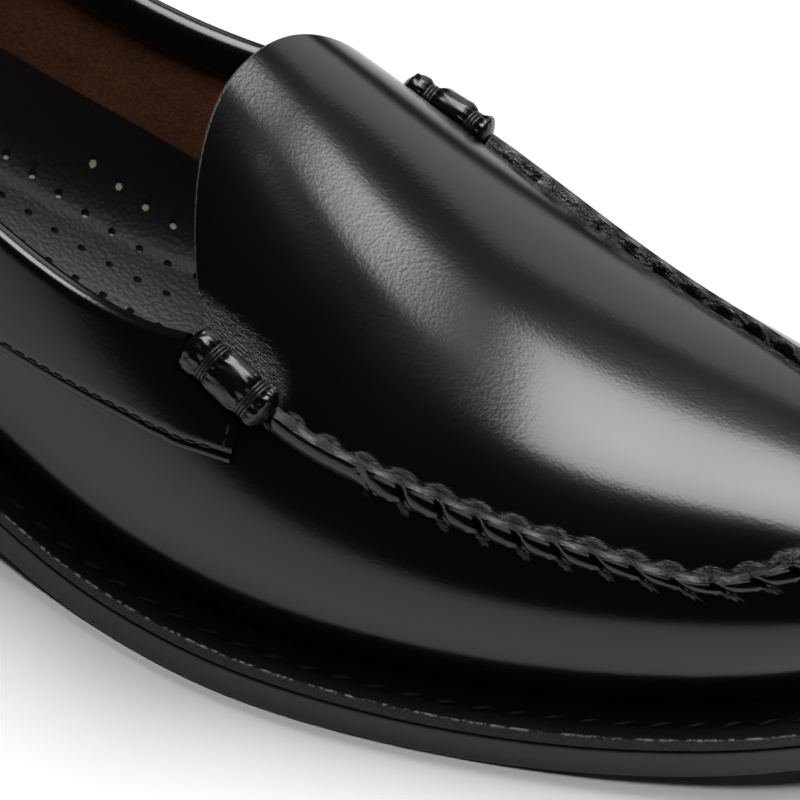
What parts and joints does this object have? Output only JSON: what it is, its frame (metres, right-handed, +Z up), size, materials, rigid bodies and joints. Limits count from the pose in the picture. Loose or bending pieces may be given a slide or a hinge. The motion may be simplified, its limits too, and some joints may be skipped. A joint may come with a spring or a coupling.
{
  "type": "venetian loafer, right shoe",
  "caption": "Right slip-on loafer with a moccasin-seamed plain apron, turned collar, tied rolls at the throat, stitched welt and stacked heel.",
  "frame": {"origin": "on the floor under the centre of the sole's plan", "axes": "+X to the toe, +Y to the inner (medial) side, +Z up"},
  "size_m": [0.2968, 0.1048, 0.0828],
  "materials": {
    "upper_leather": "highly polished black leather with a very fine grain",
    "collar_leather": "highly polished black leather, folded over the edge",
    "roll_leather": "polished black leather tied with waxed black thread",
    "sock_leather": "semi-matt black pebbled leather",
    "welt_leather": "black waxed leather, satin",
    "sole_leather": "dark ground edge with satin dressing",
    "heel_leather": "stacked lifts with satin edge dressing",
    "heel_rubber": "matt black rubber"
  },
  "bodies": {
    "root": {"upper": "upper_leather", "collar": "collar_leather", "side_roll_lateral": "roll_leather", "side_roll_medial": "roll_leather", "insole": "sock_leather", "welt": "welt_leather", "outsole": "sole_leather", "heel_stack": "heel_leather", "heel_top_piece": "heel_rubber"}
  },
  "joints": []
}
